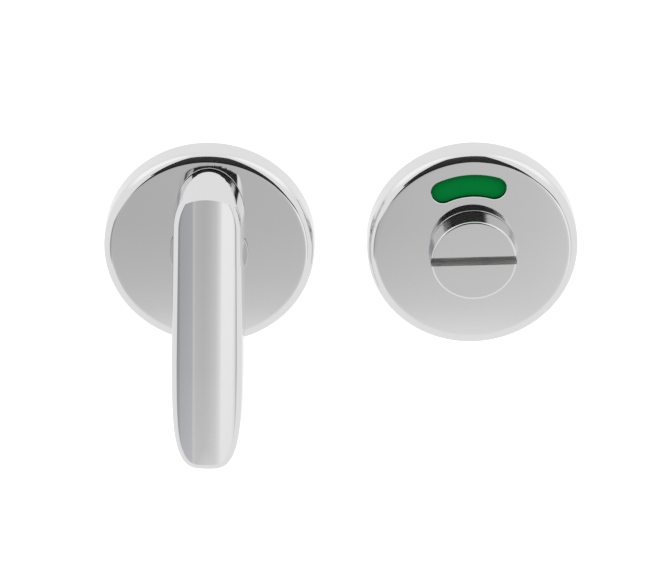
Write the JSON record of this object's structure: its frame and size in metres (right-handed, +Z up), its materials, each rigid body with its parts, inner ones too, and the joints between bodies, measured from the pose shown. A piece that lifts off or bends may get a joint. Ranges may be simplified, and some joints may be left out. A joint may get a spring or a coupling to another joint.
{
  "type": "bathroom thumb turn lock",
  "caption": "Lever thumb turn on a round rose with its square spindle, and the matching coin release rose with an indicator window that shows green or red.",
  "frame": {"origin": "centre of the back of the turn rose, on the turn axis", "axes": "+Y into the door, -Y out of the front of both roses, +Z up, +X towards the coin release"},
  "size_m": [0.1165, 0.0593, 0.0815],
  "materials": {
    "polished_steel": "mirror polished stainless steel",
    "base_zinc": "as cast zinc, bright plated",
    "nylon": "natural nylon",
    "spring_steel": "oiled spring steel",
    "plated_steel": "bright zinc plated steel",
    "indicator_black": "moulded black plastic",
    "vacant_green": "smooth green facing",
    "engaged_red": "smooth red facing"
  },
  "bodies": {
    "roses": {"turn_cover": "polished_steel", "turn_base": "base_zinc", "turn_bush": "nylon", "fixing_bolts": "plated_steel", "turn_screws": "plated_steel", "release_cover": "polished_steel", "release_base": "base_zinc", "release_bush": "nylon", "release_screws": "plated_steel"},
    "turn": {"turn_lever": "polished_steel", "spindle": "plated_steel", "spindle_pin": "spring_steel", "turn_clip": "spring_steel", "turn_washer": "spring_steel"},
    "release": {"release_knob": "polished_steel", "indicator_disc": "indicator_black", "vacant_label": "vacant_green", "engaged_label": "engaged_red", "release_clip": "spring_steel", "release_washer": "spring_steel"}
  },
  "joints": [
    {"name": "turn_hinge", "type": "hinge", "parent": "roses", "child": "turn", "pos_m": [0, 0, 0], "axis": [0, 1, 0], "range_deg": [0, 90]},
    {"name": "release_hinge", "type": "hinge", "parent": "roses", "child": "release", "pos_m": [0.0645, 0, 0], "axis": [0, 1, 0], "range_deg": [-90, 0]}
  ],
  "couplings": [
    {"joint": "release_hinge", "follows": "turn_hinge", "ratio": -1}
  ]
}
